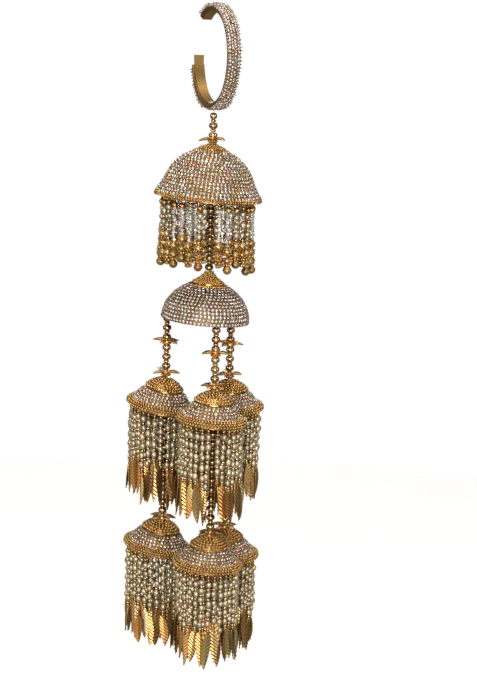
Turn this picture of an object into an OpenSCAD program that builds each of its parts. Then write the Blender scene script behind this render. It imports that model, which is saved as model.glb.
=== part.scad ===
// Bridal hand ornament: an open ring with a long drop of beads, bells and fringes.
// The origin is where the ring hangs, at the top of its inner face. +Z is up.

/* [Ring] */
// Inner radius of the open ring
ring_inner_r = 29.2; // [28:0.1:31]
// Width of the plain gold band
band_w = 6.4; // [5.6:0.1:7.4]
// Thickness of the band
band_t = 1.2; // [1:0.1:1.4]
// Width of the setting that carries the stones
setting_w = 8.4; // [7.8:0.1:10]
// Height of the setting over the band
setting_h = 2.6; // [2.4:0.1:3]
// Angle left open in the band
band_gap = 52; // [40:1:70]
// Angle of the bare tongue past the setting
tongue_angle = 12; // [6:1:20]

/* [Beads and wires] */
// Radius of a large bead
big_r = 2.4; // [2.1:0.05:2.5]
// Height of a large bead
big_h = 4.1; // [3.6:0.05:4.1]
// Radius of a small bead
small_r = 1.2; // [1:0.05:1.5]
// Height of a small bead
small_h = 1.9; // [1.6:0.05:1.9]
// Radius of a wire
wire_r = 0.45; // [0.35:0.05:0.5]
// Beads above the large bell
stem_top_count = 5; // [3:1:7]
// Beads between the large bell and the second bell
stem_count = 25; // [21:1:29]
// Beads of each string between its middle bell and its lower bell
long_counts = [29, 29, 31]; // [25:1:33]

/* [Large bell] */
// Radius of the dome before it flares
large_a = 30.4; // [29:0.1:31]
// Height of the curve of the dome
large_b = 31.4; // [29:0.1:33]
// Strings in its fringe
large_strings = 30; // [20:1:32]
// Radius of the circle that its strings hang from
large_fringe_r = 29.7; // [29.5:0.1:30.2]

/* [Second bell] */
// Radius of the dome
second_a = 28.3; // [28:0.1:29.5]
// Height of the dome
second_b = 25.2; // [23:0.1:27]
// Distance of its three strings from its own axis
string_r = 25.6; // [25.2:0.1:25.8]

/* [Small bells] */
// Radius of the dome before it flares
small_a = 18; // [17.5:0.1:18.5]
// Height of the curve of the dome
small_b = 12.8; // [12:0.1:14]
// Strings in each fringe
small_strings = 22; // [14:1:22]
// Radius of the circle that the strings hang from
small_fringe_r = 19.8; // [19.6:0.1:20]
// Length of a leaf drop
leaf_l = 25; // [20:0.5:27]
// Width of a leaf drop
leaf_w = 5.4; // [4:0.1:5.5]

/* [Hidden] */
$fn = 48;

gold = [0.80, 0.58, 0.25];
bright = [0.86, 0.80, 0.70];
pearl = [0.88, 0.87, 0.78];

// Gaps between strung pieces, and the room that a leaning bell needs
gap = 0.1;
lean_gap = 0.45;
bead_bore = 0.6;
wall = 0.8;
flower_t = 0.5;
under_flower = 0.25;

// The pin that the drop hangs from lies in a slot of the setting
pin_r = 0.5;
pin_in = 3.1;
eye_r = 1.2;
pin_z = -2 * ring_inner_r - pin_in;

// Height taken by a run of beads, large and small by turns
function run(n, big_first) =
    (big_first ? ceil(n / 2) : floor(n / 2)) * (big_h + gap)
    + (big_first ? floor(n / 2) : ceil(n / 2)) * (small_h + gap);

// Each bell leans a little: its rim moves towards the angle lean[1] by lean[0] degrees
lean_large = [3.5, 159];
lean_second = [3.5, 159];
leans = [[10, 146], [4, 159], [3, 26]];
string_angles = [146, 266, 26];

// A point p turned with a leaning bell
function leant(p, lean) =
    let (kx = sin(lean[1]), ky = -cos(lean[1]), c = cos(lean[0]), s = sin(lean[0]),
         along = kx * p[0] + ky * p[1])
    [p[0] * c + ky * p[2] * s + kx * along * (1 - c),
     p[1] * c - kx * p[2] * s + ky * along * (1 - c),
     p[2] * c + (kx * p[1] - ky * p[0]) * s];

// Drop of a dome with semi-axes a and b at the radius r
function fall(a, b, r) = b * (1 - sqrt(1 - pow(r / a, 2)));

// Heights down the stem. A cap stands neck_up over the top of its dome.
large_neck_up = 5.1;
second_neck_up = 7;
small_neck_up = 5.5;
large_rim = 32;
small_rim = 15.2;
stem_top_z = pin_z - 2.9;
flower_top_z = stem_top_z - run(stem_top_count, true) - gap;
large_z = flower_top_z - flower_t - lean_gap - large_neck_up;
stem_low_z = large_z - wall - 0.3;
second_z = stem_low_z - run(stem_count, true) - lean_gap - second_neck_up;

// The turning point of a leaning bell lies in its neck
pivot_up = 2.6;

// Heights down each string, below the tab that it hangs from
tab_t = 1;
tab_in = second_b - tab_t;
short_top = 5;
short_low = 7;
function tab_at(k) =
    leant([string_r * cos(string_angles[k]), string_r * sin(string_angles[k]), -tab_in - pivot_up],
          lean_second) + [0, 0, second_z + pivot_up];
function flower1_z(k) = tab_at(k)[2] - tab_t - 0.35 - run(short_top, true) - gap;
function flower2_z(k) = flower1_z(k) - flower_t - under_flower - run(short_low, false) - gap;
function mid_z(k) = flower2_z(k) - flower_t - under_flower - small_h - gap - lean_gap - small_neck_up;
function long_z(k) = mid_z(k) - wall - 0.45;
function flower3_z(k) = long_z(k) - run(long_counts[k], false) - gap;
function low_z(k) = flower3_z(k) - flower_t - under_flower - lean_gap - small_neck_up;

// How far each string of a fringe differs from the next
function vary(i, seed) = sin(137 * i + 61 * seed);

module bead(r, h) {
    difference() {
        intersection() {
            sphere(r = r);
            cylinder(r = r + 1, h = h, center = true);
        }
        cylinder(r = bead_bore, h = h + 1, center = true);
    }
}

// A run of beads downwards from z, large and small by turns
module bead_run(z, n, big_first) {
    for (i = [0 : n - 1]) {
        big = (i % 2 == 0) == big_first;
        translate([0, 0, z - run(i, big_first) - gap / 2 - (big ? big_h : small_h) / 2])
            bead(big ? big_r : small_r, big ? big_h : small_h);
    }
}

// A pointed leaf with its top at the origin, hanging down -Y
module leaf_shape(l, w) {
    r = (l * l + w * w) / (4 * w);
    intersection() {
        translate([r - w / 2, -l / 2]) circle(r = r);
        translate([w / 2 - r, -l / 2]) circle(r = r);
    }
}

// Thin stamped flower: five pointed leaves that slope down from a hub
module flower(z, turn) {
    color(gold)
    translate([0, 0, z - flower_t / 2])
    difference() {
        union() {
            cylinder(r = 2.2, h = flower_t, center = true);
            for (i = [0 : 4])
                rotate([0, 0, turn + 72 * i])
                rotate([0, 9, 0])
                translate([0.6, 0, -0.2])
                rotate([0, 0, 90])
                linear_extrude(0.4)
                leaf_shape(8.4, 4.4);
        }
        cylinder(r = 0.7, h = 6, center = true);
    }
}

// Turns a bell or a cap about the point in its neck. z is the top of its dome.
module leaning(z, lean) {
    translate([0, 0, z + pivot_up])
    rotate(a = lean[0], v = [sin(lean[1]), -cos(lean[1]), 0])
    translate([0, 0, -pivot_up])
    children();
}

// Cap on a dome: outer holds [radius, height over the top of the dome] from the neck to the lip
module cap(outer, a, b, lip_t) {
    bore = 1.05;
    lip = outer[len(outer) - 1];
    steps = 6;
    color(gold)
    rotate_extrude()
    polygon(concat(
        [[bore, outer[0][1]]],
        outer,
        [[lip[0], lip[1] - lip_t]],
        [for (i = [0 : steps])
            let (r = lip[0] - 0.3 - (lip[0] - 0.3 - bore) * i / steps)
            [r, 0.15 - fall(a, b, r)]]));
}

// The outer curve of a dome from its hole down to the angle low
function dome_curve(a, b, hole, low, steps) =
    let (top = acos(hole / a))
    [for (i = [0 : steps])
        let (t = top + (low - top) * i / steps)
        [a * cos(t), -b * (1 - sin(t))]];
function reversed(list) = [for (i = [len(list) - 1 : -1 : 0]) list[i]];

// The end of a headed wire
module wire_head(z) {
    translate([0, 0, z])
    cylinder(r = 1.3, h = 0.7);
}

module ring_body(r0, t, w, from, sweep) {
    rotate([0, 90, 0])
    rotate([0, 0, from])
    rotate_extrude(angle = sweep, $fn = 96)
    translate([r0, -w / 2])
    square([t, w]);
}

module ring() {
    start = 144;
    setting_r = ring_inner_r + band_t - 0.2;
    setting_t = setting_h + 0.2;
    color(gold)
    translate([0, 0, -ring_inner_r]) {
        difference() {
            union() {
                ring_body(ring_inner_r, band_t, band_w, start, 360 - band_gap);
                rotate([0, 90, 0])
                rotate([0, 0, start + 0.8])
                rotate_extrude(angle = 360 - band_gap - tongue_angle - 0.8, $fn = 96)
                polygon([[setting_r, -setting_w / 2 + 0.5],
                         [setting_r + 0.8, -setting_w / 2],
                         [setting_r + setting_t - 0.8, -setting_w / 2],
                         [setting_r + setting_t, -setting_w / 2 + 1],
                         [setting_r + setting_t, setting_w / 2 - 1],
                         [setting_r + setting_t - 0.8, setting_w / 2],
                         [setting_r + 0.8, setting_w / 2],
                         [setting_r, setting_w / 2 - 0.5]]);
            }
            // slot for the eye of the stem
            translate([-1.3, -2.7, -ring_inner_r - 8])
            cube([2.6, 5.4, 8 - band_t - 0.05]);
            // rounded corners of the tongue
            rotate([start - band_gap - 90, 0, 0])
            for (side = [-1, 1])
                scale([side, 1, 1])
                translate([band_w / 2 - 1.6, -0.01, ring_inner_r - 1])
                difference() {
                    translate([0, -1, 0])
                    cube([3, 2.6, 3]);
                    translate([0, 1.6, -1])
                    cylinder(r = 1.6, h = 5);
                }
        }
        translate([0, 0, -ring_inner_r - pin_in])
        rotate([0, 90, 0])
        cylinder(r = pin_r, h = 4, center = true);
    }
}

module stem_wire() {
    end_z = second_z - wall - 0.3;
    color(gold) {
        union() {
            translate([0, 0, pin_z])
            rotate([0, 90, 0])
            rotate_extrude()
            translate([eye_r, 0])
            circle(r = wire_r, $fn = 24);
            translate([0, 0, end_z - 0.7])
            cylinder(r = wire_r, h = pin_z - eye_r - end_z + 0.7);
            wire_head(end_z - 0.7);
        }
    }
}

module stem_beads_top() {
    color(bright) bead_run(stem_top_z, stem_top_count, true);
}

module stem_beads_low() {
    color(bright) bead_run(stem_low_z, stem_count, true);
}

module flower_top() {
    flower(flower_top_z, 20);
}

module large_cap() {
    leaning(large_z, lean_large)
    cap([[1.9, large_neck_up], [1.9, 3], [3, 2], [5.5, 1], [8, 0], [8.4, -0.3]],
        large_a, large_b, 0.7);
}

module large_bell() {
    low = 20;
    outer = dome_curve(large_a, large_b, 1.05, low, 16);
    inner = dome_curve(large_a - wall, large_b - wall, 1.05, low, 16);
    e = outer[16];
    color(gold)
    leaning(large_z, lean_large)
    rotate_extrude($fn = 96)
    polygon(concat(
        outer,
        [[e[0] + 1.5, e[1] - 3.3], [e[0] + 3.8, e[1] - 6.9], [e[0] + 5.4, e[1] - 9.5],
         [large_a + 4, -large_rim + 1], [large_a + 4, -large_rim],
         [large_fringe_r - 1.4, -large_rim], [large_fringe_r - 1.4, 1 - large_rim],
         [large_a + 2.6, 1 - large_rim],
         [e[0] + 4.6, e[1] - 9.5], [e[0] + 3, e[1] - 7.1], [e[0] + 0.7, e[1] - 3.6]],
        reversed([for (p = inner) p + [0, -wall]])));
}

module second_cap() {
    leaning(second_z, lean_second)
    cap([[2.4, second_neck_up], [3, 5.4], [5.2, 2.8], [8.2, 0.7], [10.4, -0.6]],
        second_a, second_b, 0.8);
}

module second_bell() {
    low = 4;
    outer = dome_curve(second_a, second_b, 1.05, low, 18);
    inner = dome_curve(second_a - wall, second_b - wall, 1.05, low, 18);
    color(gold)
    leaning(second_z, lean_second)
    difference() {
        union() {
            rotate_extrude($fn = 96)
            polygon(concat(
                outer,
                [[second_a, -second_b], [second_a - wall, -second_b]],
                reversed([for (p = inner) p + [0, -wall]])));
            // tabs that the three strings hang from
            for (angle = string_angles)
                rotate([0, 0, angle])
                translate([string_r - 2, -2, -second_b])
                cube([second_a - wall / 2 - string_r + 1.8, 4, tab_t]);
        }
        for (angle = string_angles)
            rotate([0, 0, angle])
            translate([string_r, 0, -second_b - 1])
            cylinder(r = 0.75, h = 3);
    }
}

// Everything of one string is placed from the hole in its tab
module on_string(k) {
    translate([tab_at(k)[0], tab_at(k)[1], 0])
    children();
}

module string_wire(k) {
    top = tab_at(k)[2] + 0.25;
    end_z = low_z(k) - wall - 0.45;
    color(gold)
    on_string(k)
    union() {
        translate([0, 0, end_z - 0.7])
        cylinder(r = wire_r, h = top - end_z + 1);
        wire_head(top);
        wire_head(end_z - 0.7);
    }
}

module short_beads(k) {
    color(bright)
    on_string(k) {
        bead_run(tab_at(k)[2] - tab_t - 0.35, short_top, true);
        bead_run(flower1_z(k) - flower_t - under_flower, short_low, false);
        bead_run(flower2_z(k) - flower_t - under_flower, 1, false);
    }
}

module long_beads(k) {
    color(bright)
    on_string(k)
    bead_run(long_z(k), long_counts[k], false);
}

module small_cap(k, z) {
    on_string(k)
    leaning(z, leans[k])
    cap([[2, small_neck_up], [2, 4.6], [5, 3.4], [8.8, 1.3], [11.2, -0.8], [12.2, -1.8]],
        small_a, small_b, 1.1);
}

module small_bell(k, z) {
    low = 20;
    outer = dome_curve(small_a, small_b, 1.05, low, 12);
    inner = dome_curve(small_a - wall, small_b - wall, 1.05, low, 12);
    e = outer[12];
    color(gold)
    on_string(k)
    leaning(z, leans[k])
    rotate_extrude($fn = 96)
    polygon(concat(
        outer,
        [[e[0] + 0.7, e[1] - 1.2], [e[0] + 2.7, e[1] - 2.8], [e[0] + 5.1, e[1] - 4.2],
         [e[0] + 5.4, e[1] - 4.8], [e[0] + 5.4, -small_rim],
         [small_fringe_r - 1.4, -small_rim], [small_fringe_r - 1.4, 0.9 - small_rim],
         [e[0] + 4.4, 0.9 - small_rim], [e[0] + 4.4, e[1] - 5],
         [e[0] + 2, e[1] - 3.6], [e[0] - 0.1, e[1] - 1.9]],
        reversed([for (p = inner) p + [0, -wall]])));
}

// Ring of wire that a fringe is tied to, below the rim of its bell
module fringe_head(r, rim) {
    translate([0, 0, -rim - 1.4])
    difference() {
        cylinder(r = r + 1.4, h = 1.2);
        translate([0, 0, -1])
        cylinder(r = r - 1.4, h = 4);
    }
}

// Top of string i of a fringe of n strings, from the top of its dome
function drop_at(i, n, r, rim, lean) =
    leant([r * cos(360 * i / n), r * sin(360 * i / n), -rim - 0.8 - pivot_up], lean)
    + [0, 0, pivot_up];

module large_fringe() {
    color(pearl)
    union() {
        leaning(large_z, lean_large)
        fringe_head(large_fringe_r, large_rim);
        translate([0, 0, large_z])
        for (i = [0 : large_strings - 1]) {
            l = 37 + 6 * (i % 3) / 2 + 1.5 * vary(i, 1);
            translate(drop_at(i, large_strings, large_fringe_r, large_rim, lean_large)) {
                translate([0, 0, -l])
                cylinder(r = 1.1, h = l);
                for (j = [0 : 1])
                    translate([0, 0, 6.2 * j - l])
                    sphere(r = 2.9);
            }
        }
    }
}

module small_fringe(k, z, seed) {
    color(pearl)
    on_string(k)
    union() {
        leaning(z, leans[k])
        fringe_head(small_fringe_r, small_rim);
        translate([0, 0, z])
        for (i = [0 : small_strings - 1]) {
            l = 40 + 2.5 * vary(i, seed);
            translate(drop_at(i, small_strings, small_fringe_r, small_rim, leans[k])) {
                translate([0, 0, -l])
                cylinder(r = 1, h = l);
                translate([0, 0, 2 - l])
                rotate([0, 0, 360 * i / small_strings + 90])
                rotate([90, 0, 0])
                linear_extrude(0.8, center = true)
                leaf_shape(leaf_l, leaf_w);
            }
        }
    }
}

ring();
stem_wire();
stem_beads_top();
flower_top();
large_cap();
large_bell();
large_fringe();
stem_beads_low();
second_cap();
second_bell();

string_wire(0);  // string_wire_a
short_beads(0);  // short_beads_a
on_string(0) flower(flower1_z(0), 10);  // flower_a1
on_string(0) flower(flower2_z(0), 40);  // flower_a2
small_cap(0, mid_z(0));  // mid_cap_a
small_bell(0, mid_z(0));  // mid_bell_a
small_fringe(0, mid_z(0), 1);  // mid_fringe_a
long_beads(0);  // long_beads_a
on_string(0) flower(flower3_z(0), 60);  // flower_a3
small_cap(0, low_z(0));  // low_cap_a
small_bell(0, low_z(0));  // low_bell_a
small_fringe(0, low_z(0), 2);  // low_fringe_a

string_wire(1);  // string_wire_b
short_beads(1);  // short_beads_b
on_string(1) flower(flower1_z(1), 30);  // flower_b1
on_string(1) flower(flower2_z(1), 0);  // flower_b2
small_cap(1, mid_z(1));  // mid_cap_b
small_bell(1, mid_z(1));  // mid_bell_b
small_fringe(1, mid_z(1), 3);  // mid_fringe_b
long_beads(1);  // long_beads_b
on_string(1) flower(flower3_z(1), 50);  // flower_b3
small_cap(1, low_z(1));  // low_cap_b
small_bell(1, low_z(1));  // low_bell_b
small_fringe(1, low_z(1), 4);  // low_fringe_b

string_wire(2);  // string_wire_c
short_beads(2);  // short_beads_c
on_string(2) flower(flower1_z(2), 65);  // flower_c1
on_string(2) flower(flower2_z(2), 25);  // flower_c2
small_cap(2, mid_z(2));  // mid_cap_c
small_bell(2, mid_z(2));  // mid_bell_c
small_fringe(2, mid_z(2), 5);  // mid_fringe_c
long_beads(2);  // long_beads_c
on_string(2) flower(flower3_z(2), 5);  // flower_c3
small_cap(2, low_z(2));  // low_cap_c
small_bell(2, low_z(2));  // low_bell_c
small_fringe(2, low_z(2), 6);  // low_fringe_c
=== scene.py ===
import math

import bpy
import numpy as np
from mathutils import Matrix, Vector


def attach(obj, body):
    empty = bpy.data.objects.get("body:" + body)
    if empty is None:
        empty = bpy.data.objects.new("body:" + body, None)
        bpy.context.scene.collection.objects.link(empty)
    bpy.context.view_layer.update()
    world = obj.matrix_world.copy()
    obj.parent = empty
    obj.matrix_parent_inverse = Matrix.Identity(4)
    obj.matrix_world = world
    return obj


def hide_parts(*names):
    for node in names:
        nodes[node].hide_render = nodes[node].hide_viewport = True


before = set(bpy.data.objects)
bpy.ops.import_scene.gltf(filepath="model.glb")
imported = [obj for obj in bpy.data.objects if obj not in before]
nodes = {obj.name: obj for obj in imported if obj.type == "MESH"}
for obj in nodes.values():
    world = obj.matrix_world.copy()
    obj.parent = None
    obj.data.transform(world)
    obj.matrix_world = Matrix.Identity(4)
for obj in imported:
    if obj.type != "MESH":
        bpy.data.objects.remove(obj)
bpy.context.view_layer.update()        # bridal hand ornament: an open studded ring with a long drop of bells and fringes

mm = 0.001
dice = np.random.default_rng(21)        # every small irregularity comes from here

# Sizes that the solids are built from, in millimetres
ringInside = 29.2
beadSizes = {"big": (2.4, 4.1), "small": (1.2, 1.9), "gap": 0.1, "fuller": 1.2, "smallFuller": 1.55}
hung = {"pin": 3.1, "eye": 2.9, "flower": 0.5, "underFlower": 0.25, "room": 0.45, "wall": 0.8,
        "underBell": 0.3, "tab": 1.0, "underTab": 0.35, "pivot": 2.6, "bore": 1.05}
beadCounts = {"stemTop": 5, "stemLow": 25, "shortTop": 5, "shortLow": 7}

# Each bell: half the width and the height of its dome, the angle where the dome ends, the neck of its cap,
# and its lean, which is degrees and the way that the rim moves
largeBell = {"a": 30.4, "b": 31.4, "low": 20, "neck": 5.1, "lean": (3.5, 159)}
secondBell = {"a": 28.3, "b": 25.2, "low": 4, "neck": 7.0, "lean": (3.5, 159), "strings": 25.6}
smallBell = {"a": 18.0, "b": 12.8, "low": 20, "neck": 5.5}

# Each string: its angle round the second bell, the lean of its bells, the beads of its long run, the turns of
# its flowers, the seeds of its two fringes, and the opening in the upper one (its angle, and half its width)
strings = {
    "a": {"angle": 146, "lean": (10, 146), "long": 29, "turns": (10, 40, 60), "seeds": (1, 2),
          "opening": (259.6, 2.6)},
    "b": {"angle": 266, "lean": (4, 159), "long": 29, "turns": (30, 0, 50), "seeds": (3, 4),
          "opening": (252.8, 2.9)},
    "c": {"angle": 26, "lean": (3, 26), "long": 31, "turns": (65, 25, 5), "seeds": (5, 6), "opening": None},
}


# Height of a run of beads, big and small by turns
def runHeight(count, bigFirst):
    bigs = (count + bigFirst) // 2
    return bigs * beadSizes["big"][1] + (count - bigs) * beadSizes["small"][1] + count * beadSizes["gap"]


# A bell's own frame: it turns about a point in its neck
def leaning(x, y, z, lean):
    way, up = math.radians(lean[1]), Matrix.Translation((0, 0, hung["pivot"]))
    turn = Matrix.Rotation(math.radians(lean[0]), 4, (math.sin(way), -math.cos(way), 0))
    return np.array(Matrix.Translation((x, y, z)) @ up @ turn @ up.inverted())


# Heights down the stem, then down each string from its tab inside the second bell
gap, flowerDepth = beadSizes["gap"], hung["flower"] + hung["underFlower"]
stemTop = -2 * ringInside - hung["pin"] - hung["eye"]
topFlower = stemTop - runHeight(beadCounts["stemTop"], True) - gap
largeTop = topFlower - hung["flower"] - hung["room"] - largeBell["neck"]
stemLow = largeTop - hung["wall"] - hung["underBell"]
secondTop = stemLow - runHeight(beadCounts["stemLow"], True) - hung["room"] - secondBell["neck"]
largePlace = leaning(0, 0, largeTop, largeBell["lean"])
secondPlace = leaning(0, 0, secondTop, secondBell["lean"])
for string in strings.values():
    t = math.radians(string["angle"])
    reach = secondBell["strings"]
    tab = secondPlace @ (reach * math.cos(t), reach * math.sin(t), hung["tab"] - secondBell["b"], 1)
    first = tab[2] - hung["tab"] - hung["underTab"] - runHeight(beadCounts["shortTop"], True) - gap
    second = first - flowerDepth - runHeight(beadCounts["shortLow"], False) - gap
    string["mid"] = second - flowerDepth - beadSizes["small"][1] - gap - hung["room"] - smallBell["neck"]
    third = string["mid"] - hung["wall"] - hung["room"] - runHeight(string["long"], False) - gap
    string["low"] = third - flowerDepth - hung["room"] - smallBell["neck"]
    string["at"], string["flowers"] = tuple(tab[:2]), (first, second, third)

# Camera, at the photograph's own angle
view = {"distance": 1103.9, "azimuth": 21.0, "height": -20.9, "yaw": 1.08, "pitch": 9.861, "roll": 1.9,
        "lens": 89.87}


def addCamera():
    turn, yaw, pitch, roll = (math.radians(view[k]) for k in ("azimuth", "yaw", "pitch", "roll"))
    away = view["distance"]
    place = Vector((-away * math.sin(turn), -away * math.cos(turn), view["height"])) * mm
    data = bpy.data.cameras.new("photoCamera")
    data.lens, data.sensor_width = view["lens"], 36
    data.clip_start, data.clip_end = 0.01, 20
    camera = bpy.data.objects.new("photoCamera", data)
    camera.matrix_world = (Matrix.Translation(place) @ Matrix.Rotation(-turn - yaw, 4, "Z")
                           @ Matrix.Rotation(math.pi / 2 - pitch, 4, "X") @ Matrix.Rotation(roll, 4, "Z"))
    bpy.context.scene.collection.objects.link(camera)
    bpy.context.scene.camera = camera


addCamera()
print("camera placed")


def linear(hexColour):
    parts = [int(hexColour[i:i + 2], 16) / 255 for i in (1, 3, 5)]
    return [c / 12.92 if c <= 0.04045 else ((c + 0.055) / 1.055) ** 2.4 for c in parts] + [1.0]


# Adds one node. Inputs are values or sockets to link; stops fill a colour ramp.
def put(tree, kind, inputs=None, stops=None, **settings):
    node = tree.nodes.new(kind)
    for name, value in settings.items():
        setattr(node, name, value)
    for name, value in (inputs or {}).items():
        if isinstance(value, bpy.types.NodeSocket):
            tree.links.new(value, node.inputs[name])
        else:
            node.inputs[name].default_value = value
    if stops:
        ramp = node.color_ramp.elements
        while len(ramp) < len(stops):
            ramp.new(1.0)
        for stop, (place, hexColour) in zip(ramp, stops):
            stop.position, stop.color = place, linear(hexColour)
    return node


def blank(name):
    material = bpy.data.materials.new(name)
    material.use_nodes = True
    material.node_tree.nodes.clear()
    return material, material.node_tree


def shaded(material, inputs):
    shader = put(material.node_tree, "ShaderNodeBsdfPrincipled", inputs)
    put(material.node_tree, "ShaderNodeOutputMaterial", {"Surface": shader.outputs[0]})
    return material


# Gold-plated brass, stamped and polished: an ochre gold that goes nearly brown where nothing lights it.
# The plating is cloudy over about 5 mm, and the polish leaves ripples of about 0.5 mm.
polished = {"deep": "#A88248", "light": "#DBB478", "roughness": (0.16, 0.32), "cloud": 5 * mm,
            "ripple": 0.5 * mm}

# The same plating where it lies between stones, satin and darker: the darker tone is painted shade for the
# gaps between the stones, where shade falls. Under the white stones of the second bell it is greyer.
shadedUnderStones = {"deep": "#745A38", "light": "#9E7E52", "roughness": (0.5, 0.6), "cloud": 3 * mm,
               "ripple": 0.4 * mm}
shadedUnderWhiteStones = {**shadedUnderStones, "deep": "#5E4E3E", "light": "#8A7660"}


def plating(name, look):
    material, tree = blank(name)
    where = put(tree, "ShaderNodeTexCoord").outputs["Object"]
    cloud = put(tree, "ShaderNodeTexNoise", {"Vector": where, "Scale": 1 / look["cloud"], "Detail": 3.0})
    tone = put(tree, "ShaderNodeValToRGB", {"Fac": cloud.outputs["Fac"]},
               stops=[(0.34, look["deep"]), (0.66, look["light"])])
    gloss = put(tree, "ShaderNodeMapRange", {
        "Value": cloud.outputs["Fac"], "From Min": 0.35, "From Max": 0.65,
        "To Min": look["roughness"][0], "To Max": look["roughness"][1]})
    ripple = put(tree, "ShaderNodeTexNoise", {"Vector": where, "Scale": 1 / look["ripple"], "Detail": 2.0})
    bump = put(tree, "ShaderNodeBump", {
        "Height": ripple.outputs["Fac"], "Strength": 0.25, "Distance": 0.06 * mm})
    return shaded(material, {"Base Color": tone.outputs["Color"], "Metallic": 1.0,
                             "Roughness": gloss.outputs["Result"], "Normal": bump.outputs["Normal"]})


# Gold-plated brass strip, brushed round the band: long fine streaks and a soft, wide shine.
# Real brush lines are about 0.05 mm; they are drawn 0.35 mm wide so that they show.
def brushedPlating():
    look = {"deep": "#7C6036", "light": "#AE8A56", "roughness": 0.42, "streak": 0.35 * mm, "run": 24 * mm}
    material, tree = blank("platedBrassBrushed")
    where = put(tree, "ShaderNodeTexCoord").outputs["Object"]
    axis = put(tree, "ShaderNodeSeparateXYZ", {"Vector": where})
    up = put(tree, "ShaderNodeMath", {0: axis.outputs["Z"], 1: ringInside * mm}, operation="ADD")
    angle = put(tree, "ShaderNodeMath", {0: axis.outputs["Y"], 1: up.outputs[0]}, operation="ARCTAN2")
    across = put(tree, "ShaderNodeMath", {0: axis.outputs["X"], 1: 1 / look["streak"]}, operation="MULTIPLY")
    along = put(tree, "ShaderNodeMath", {0: angle.outputs[0], 1: ringInside * mm / look["run"]},
                operation="MULTIPLY")
    lay = put(tree, "ShaderNodeCombineXYZ", {"X": across.outputs[0], "Y": along.outputs[0]})
    streak = put(tree, "ShaderNodeTexNoise", {
        "Vector": lay.outputs[0], "Scale": 1.0, "Detail": 3.0, "Roughness": 0.6})
    tone = put(tree, "ShaderNodeValToRGB", {"Fac": streak.outputs["Fac"]},
               stops=[(0.3, look["deep"]), (0.7, look["light"])])
    bump = put(tree, "ShaderNodeBump", {
        "Height": streak.outputs["Fac"], "Strength": 0.35, "Distance": 0.08 * mm})
    return shaded(material, {"Base Color": tone.outputs["Color"], "Metallic": 1.0,
                             "Roughness": look["roughness"], "Normal": bump.outputs["Normal"]})


# Pale plated brass beads, barrel polished: champagne rather than yellow, and dark at the edge
def brightBead():
    look = {"deep": "#8E7850", "light": "#CBB88E", "roughness": 0.14, "cloud": 2.2 * mm}
    material, tree = blank("paleBrassBead")
    where = put(tree, "ShaderNodeTexCoord").outputs["Object"]
    cloud = put(tree, "ShaderNodeTexNoise", {"Vector": where, "Scale": 1 / look["cloud"], "Detail": 2.0})
    tone = put(tree, "ShaderNodeValToRGB", {"Fac": cloud.outputs["Fac"]},
               stops=[(0.35, look["deep"]), (0.65, look["light"])])
    return shaded(material, {"Base Color": tone.outputs["Color"], "Metallic": 1.0,
                             "Roughness": look["roughness"]})


# Tints along a ramp, from which each separate part takes one of its own
def ownTint(tree, tints, last):
    own = put(tree, "ShaderNodeNewGeometry").outputs["Random Per Island"]
    return put(tree, "ShaderNodeValToRGB", {"Fac": own}, stops=[(i / last, t) for i, t in enumerate(tints)])


# Plated brass in small parts from several batches, under a thin lacquer: neighbours differ in tint
giltTints = ["#BA7842", "#9C8856", "#C6A168", "#986C3E", "#BEA46C", "#AE8250"]      # old gold
leafTints = ["#C8884A", "#B29A66", "#D6B072", "#A68658", "#CE9456", "#CAB88E"]      # sheet, a wide soft shine
shadeSideTints = ["#8E5C30", "#706040", "#987A48", "#6E5A3A", "#8E6638", "#887A50"]    # painted shade on the side of each vein that turns down
paintedLightCapTints = ["#D09C58", "#C09A56", "#DCB878", "#C8904C"]                             # second cap's grains, paler as painted light against the large fringe's shade
stringTints = ["#D0BA94", "#BCA47C", "#D8C49E", "#C6A684", "#DECAA4"]               # pale, between the pearls
runTints = ["#B89C72", "#A08660", "#C2A87E", "#A88460", "#CAAE84"]                  # beads, sharp highlights
clawTints = ["#9C8E80", "#827468", "#B4A698", "#947E6A"]                            # silvered, gone grey


def platedPart(name, tints, roughness):
    material, tree = blank(name)
    tone = ownTint(tree, tints, len(tints) - 1)
    return shaded(material, {"Base Color": tone.outputs["Color"], "Metallic": 1.0, "Roughness": roughness})


# Foil-backed cut glass: the foil sends the light back like metal, under a clear hard gloss. Each stone has
# its own tint, from silver to champagne and rose. The crystals are lined with silver and clearer.
stoneTints = ["#AE9A80", "#A48E7E", "#ACA49C", "#B6928A", "#9C825C", "#BCB4AA"]
whiteTints = ["#BCB2A6", "#B09E90", "#C2B8B0", "#BC9E96", "#AC9C7E"]
crystalTints = ["#E6E2DA", "#D2D2CC", "#F2ECE2", "#DED2D6"]


def foilStone(name, tints, roughness):
    material, tree = blank(name)
    tone = ownTint(tree, tints, len(tints))
    tone.color_ramp.interpolation = "CONSTANT"
    return shaded(material, {"Base Color": tone.outputs["Color"], "Metallic": 0.9, "Roughness": roughness,
                             "Coat Weight": 0.35, "Coat Roughness": 0.05})


# Dipped glass pearls: ivory, grey-green or rose, with a satin depth nearly like metal and a soft highlight
def dippedPearl():
    tints = ["#B89A80", "#9E9A80", "#C2AE88", "#949078", "#AE967A", "#AEA48C"]
    material, tree = blank("dippedGlassPearl")
    tone = ownTint(tree, tints, len(tints) - 1)
    return shaded(material, {"Base Color": tone.outputs["Color"], "Metallic": 0.75, "Roughness": 0.32,
                             "IOR": 1.52, "Coat Weight": 0.3, "Coat Roughness": 0.12})


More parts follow.
